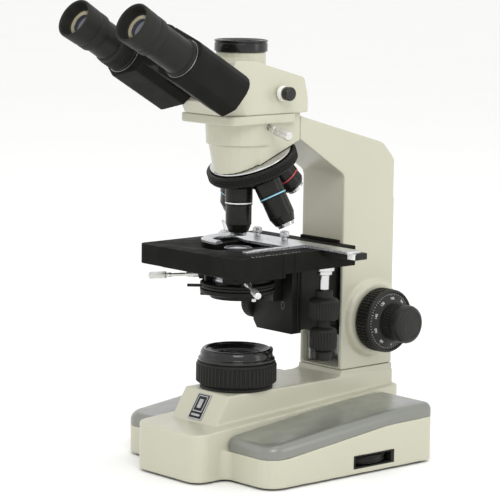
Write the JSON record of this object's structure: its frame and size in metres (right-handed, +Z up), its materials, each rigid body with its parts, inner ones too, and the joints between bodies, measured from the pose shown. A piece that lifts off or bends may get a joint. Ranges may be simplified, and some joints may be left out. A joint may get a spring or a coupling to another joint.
{
  "type": "compound microscope",
  "caption": "Upright compound laboratory microscope with binocular head, camera port, turning nosepiece, mechanical stage, condenser and built-in lamp.",
  "frame": {"origin": "middle of the base's footprint, on the surface the feet stand on", "axes": "+Z up; +X to the user's right; -Y towards the user, where the eyepieces are; the optical axis stands at X 0, Y -4.28 mm"},
  "size_m": [0.2128, 0.3472, 0.4272],
  "materials": {
    "paint": "cream enamel, semi-gloss, faint orange peel",
    "pad": "grey-green enamel, satin",
    "black_paint": "black semi-gloss enamel",
    "objective_black": "black satin with plated tip",
    "black_plastic": "black satin plastic",
    "rubber": "black ribbed rubber",
    "chrome": "bright plating",
    "satin_metal": "satin metal",
    "lens_glass": "coated glass",
    "circuit_board": "green circuit board"
  },
  "bodies": {
    "stand": {"base_casting": "paint", "base_pad_left": "pad", "base_pad_right": "pad", "bottom_plate": "black_plastic", "foot_front_left": "rubber", "foot_front_right": "rubber", "foot_rear_left": "rubber", "foot_rear_right": "rubber", "badge_plate": "satin_metal", "lamp_mount": "black_paint", "lamp_bezel": "black_plastic", "collector_lens": "lens_glass", "lamp_unit": "lens_glass", "power_board": "circuit_board", "power_inlet": "black_plastic", "arm_casting": "paint", "head_support": "paint", "guide_rail": "chrome", "nosepiece_mount": "chrome"},
    "field_ring": {"field_ring": "rubber"},
    "dimmer": {"dimmer_wheel": "black_plastic"},
    "power_switch": {"power_switch": "black_plastic"},
    "head_lock_screw": {"head_lock_screw": "chrome"},
    "coarse": {"coarse_shaft": "satin_metal", "coarse_knob_left": "black_plastic", "coarse_knob_right": "black_plastic"},
    "fine": {"fine_spindle": "satin_metal", "fine_knob_left": "black_plastic", "fine_knob_right": "black_plastic"},
    "stage_lift": {"stage_bracket": "black_paint", "stage_lower_plate": "black_paint"},
    "condenser": {"condenser_carrier": "black_paint", "iris_housing": "black_paint", "condenser_barrel": "satin_metal"},
    "condenser_knob": {"condenser_knob": "rubber"},
    "iris_lever": {"iris_lever": "black_paint"},
    "centring_screw_left": {"centring_screw_left": "chrome"},
    "centring_screw_right": {"centring_screw_right": "chrome"},
    "filter_holder": {"filter_holder": "black_paint"},
    "stage_y": {"stage_plate": "black_paint", "drive_post": "chrome"},
    "stage_y_knob": {"stage_y_knob": "rubber"},
    "carriage": {"slide_carriage": "satin_metal", "carriage_screw_left": "chrome", "carriage_screw_right": "chrome"},
    "stage_x_knob": {"stage_x_knob": "rubber"},
    "clip_finger": {"clip_finger": "satin_metal"},
    "nosepiece": {"nosepiece": "black_paint", "objective_100x": "objective_black", "objective_40x": "objective_black", "objective_4x": "objective_black", "objective_10x": "objective_black"},
    "head": {"head_body": "paint", "port_ring": "black_plastic"},
    "splitter": {"splitter_rod": "black_plastic"},
    "wing_right": {"prism_housing_right": "black_paint"},
    "wing_left": {"prism_housing_left": "black_paint"},
    "dioptre_ring": {"dioptre_ring": "rubber"},
    "eyepiece_left": {"eyepiece_left": "rubber"},
    "eyepiece_right": {"eyepiece_right": "rubber"}
  },
  "joints": [
    {"name": "stage_lift", "type": "slide", "parent": "stand", "child": "stage_lift", "axis": [0, 0, 1], "range_m": [-0.024, 0.002]},
    {"name": "coarse_focus", "type": "hinge", "parent": "stand", "child": "coarse", "pos_m": [0, 0.14272, 0.1255], "axis": [1, 0, 0], "range_deg": [-20, 230]},
    {"name": "fine_focus", "type": "hinge", "parent": "stand", "child": "fine", "pos_m": [0, 0.14272, 0.1255], "axis": [1, 0, 0], "continuous": true},
    {"name": "condenser_height", "type": "slide", "parent": "stage_lift", "child": "condenser", "axis": [0, 0, 1], "range_m": [-0.018, 0.0005]},
    {"name": "condenser_knob_turn", "type": "hinge", "parent": "stage_lift", "child": "condenser_knob", "pos_m": [0, 0.04872, 0.142], "axis": [1, 0, 0], "range_deg": [-4, 116]},
    {"name": "iris", "type": "hinge", "parent": "condenser", "child": "iris_lever", "pos_m": [0, -0.00428, 0.1668], "axis": [0, 0, 1], "range_deg": [-40, 40]},
    {"name": "centring_left", "type": "hinge", "parent": "condenser", "child": "centring_screw_left", "pos_m": [-0.03118, -0.02228, 0.1755], "axis": [-0.8627, -0.4981, -0.0872], "range_deg": [-360, 360]},
    {"name": "centring_right", "type": "hinge", "parent": "condenser", "child": "centring_screw_right", "pos_m": [0.03118, -0.02228, 0.1755], "axis": [0.8627, -0.4981, -0.0872], "range_deg": [-360, 360]},
    {"name": "filter_swing", "type": "hinge", "parent": "condenser", "child": "filter_holder", "pos_m": [-0.02858, -0.02078, 0.158], "axis": [0, 0, 1], "range_deg": [-90, 0]},
    {"name": "stage_y", "type": "slide", "parent": "stage_lift", "child": "stage_y", "axis": [0, 1, 0], "range_m": [-0.028, 0.018]},
    {"name": "stage_y_turn", "type": "hinge", "parent": "stage_y", "child": "stage_y_knob", "pos_m": [0.047, 0.06022, 0.145], "axis": [0, 0, 1], "range_deg": [-230, 148]},
    {"name": "stage_x", "type": "slide", "parent": "stage_y", "child": "carriage", "axis": [1, 0, 0], "range_m": [-0.045, 0.031]},
    {"name": "stage_x_turn", "type": "hinge", "parent": "stage_y", "child": "stage_x_knob", "pos_m": [0.047, 0.06022, 0.118], "axis": [0, 0, 1], "range_deg": [-369, 254]},
    {"name": "clip_open", "type": "hinge", "parent": "carriage", "child": "clip_finger", "pos_m": [-0.048, 0.02372, 0.208], "axis": [0, 0, 1], "range_deg": [-30, 0], "stiffness_Nm_per_rad": 0.05, "springref_deg": 8.59},
    {"name": "nosepiece_turn", "type": "hinge", "parent": "stand", "child": "nosepiece", "pos_m": [0, 0.0111, 0.27865], "axis": [0, 0.3827, -0.9239], "continuous": true},
    {"name": "head_swivel", "type": "hinge", "parent": "stand", "child": "head", "pos_m": [0, -0.00428, 0.3252], "axis": [0, 0, 1], "continuous": true},
    {"name": "head_lock", "type": "hinge", "parent": "stand", "child": "head_lock_screw", "pos_m": [0.036, 0.00372, 0.3123], "axis": [0.9744, 0, -0.225], "range_deg": [-360, 360]},
    {"name": "beam_splitter", "type": "slide", "parent": "head", "child": "splitter", "axis": [1, 0, 0], "range_m": [0, 0.01]},
    {"name": "wing_right_fold", "type": "hinge", "parent": "head", "child": "wing_right", "pos_m": [0, -0.00428, 0.333], "axis": [0, -0.866, 0.5], "range_deg": [-29, 8]},
    {"name": "wing_left_fold", "type": "hinge", "parent": "head", "child": "wing_left", "pos_m": [0, -0.00428, 0.333], "axis": [0, -0.866, 0.5], "range_deg": [-8, 29]},
    {"name": "dioptre", "type": "hinge", "parent": "wing_left", "child": "dioptre_ring", "pos_m": [-0.03902, -0.11417, 0.38267], "axis": [0, -0.866, 0.5], "range_deg": [-90, 90]},
    {"name": "eyepiece_left_turn", "type": "hinge", "parent": "wing_left", "child": "eyepiece_left", "pos_m": [-0.03902, -0.14881, 0.40267], "axis": [0, -0.866, 0.5], "continuous": true},
    {"name": "eyepiece_right_turn", "type": "hinge", "parent": "wing_right", "child": "eyepiece_right", "pos_m": [0.03902, -0.14881, 0.40267], "axis": [0, -0.866, 0.5], "continuous": true},
    {"name": "dimmer_turn", "type": "hinge", "parent": "stand", "child": "dimmer", "pos_m": [0.076, 0.07172, 0.013], "axis": [0, 0, 1], "range_deg": [-135, 135]},
    {"name": "switch_rock", "type": "hinge", "parent": "stand", "child": "power_switch", "pos_m": [0.027, 0.16672, 0.025], "axis": [1, 0, 0], "range_deg": [-10, 0]},
    {"name": "field_iris", "type": "hinge", "parent": "stand", "child": "field_ring", "pos_m": [0, -0.00428, 0.09], "axis": [0, 0, 1], "range_deg": [-60, 60]}
  ],
  "couplings": [
    {"joint": "coarse_focus", "follows": "stage_lift", "rad_per_m": -166.67},
    {"joint": "condenser_knob_turn", "follows": "condenser_height", "rad_per_m": -111.11},
    {"joint": "stage_y_turn", "follows": "stage_y", "rad_per_m": 142.86},
    {"joint": "stage_x_turn", "follows": "stage_x", "rad_per_m": 142.86},
    {"joint": "wing_left_fold", "follows": "wing_right_fold", "ratio": -1}
  ]
}
